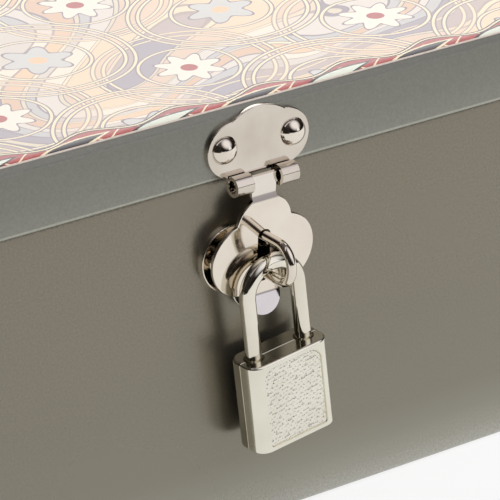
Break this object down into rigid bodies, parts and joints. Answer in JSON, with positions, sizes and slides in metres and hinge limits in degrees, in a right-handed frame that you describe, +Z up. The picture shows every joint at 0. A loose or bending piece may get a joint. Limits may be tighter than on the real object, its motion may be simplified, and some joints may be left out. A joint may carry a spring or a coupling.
{
  "type": "tin box",
  "caption": "Hinged rectangular tin box for papers with an overlapping lid, a hasp and staple on the front and a small padlock hung through the staple.",
  "frame": {"origin": "centre of the flat base, on the surface that the box stands on", "axes": "+X along the length to the right seen from the front, +Y from the hasp to the hinges, +Z up"},
  "size_m": [0.3144, 0.2448, 0.0946],
  "materials": {
    "body_tin": "satin metallic taupe lacquer on sheet steel",
    "lid_tin": "satin metallic grey skirt, glossy printed top",
    "hardware_nickel": "polished nickel plate",
    "padlock_nickel": "polished nickel plate, grained front panel",
    "shackle_steel": "polished nickel plate on steel bar",
    "plug_brass": "turned",
    "bare_steel": "stamped"
  },
  "bodies": {
    "box": {"box_body": "body_tin", "staple_plate": "hardware_nickel", "staple_rivets": "hardware_nickel", "staple_eye": "hardware_nickel", "hinge_left_body_leaf": "hardware_nickel", "hinge_right_body_leaf": "hardware_nickel", "hinge_body_rivets": "hardware_nickel", "hinge_left_pin": "hardware_nickel", "hinge_right_pin": "hardware_nickel"},
    "lid": {"lid": "lid_tin", "hasp_plate": "hardware_nickel", "hasp_rivets": "hardware_nickel", "hinge_left_lid_leaf": "hardware_nickel", "hinge_right_lid_leaf": "hardware_nickel", "hinge_lid_rivets": "hardware_nickel"},
    "flap": {"hasp_flap": "hardware_nickel"},
    "shackle": {"padlock_shackle": "shackle_steel"},
    "case": {"padlock_front_case": "padlock_nickel", "padlock_back_case": "padlock_nickel", "padlock_case_pins": "bare_steel", "padlock_shackle_spring": "bare_steel"},
    "plug": {"padlock_key_plug": "plug_brass"},
    "bolt": {"padlock_bolt": "bare_steel"}
  },
  "joints": [
    {"name": "lid_hinge", "type": "hinge", "parent": "box", "child": "lid", "pos_m": [0, 0.115, 0.077], "axis": [-1, 0, 0], "range_deg": [0, 150]},
    {"name": "flap_hinge", "type": "hinge", "parent": "lid", "child": "flap", "pos_m": [0, -0.11685, 0.07825], "axis": [-1, 0, 0], "range_deg": [0, 164]},
    {"name": "padlock_swing", "type": "hinge", "parent": "box", "child": "shackle", "pos_m": [-0.00015, -0.1188, 0.06077], "axis": [-1, 0, 0], "range_deg": [0, 90]},
    {"name": "case_release", "type": "slide", "parent": "shackle", "child": "case", "axis": [0.1001, 0.0046, -0.995], "range_m": [0, 0.0052], "deforming": ["padlock_shackle_spring"]},
    {"name": "key_turn", "type": "hinge", "parent": "case", "child": "plug", "pos_m": [0.00381, -0.11862, 0.02142], "axis": [-0.1001, -0.0046, 0.995], "range_deg": [0, 90]},
    {"name": "bolt_slide", "type": "slide", "parent": "case", "child": "bolt", "axis": [-0.9939, -0.046, -0.1002], "range_m": [0, 0.0036]}
  ],
  "couplings": [
    {"joint": "bolt_slide", "follows": "case_release", "ratio": 0.69231},
    {"joint": "key_turn", "follows": "case_release", "rad_per_m": 302.08}
  ]
}
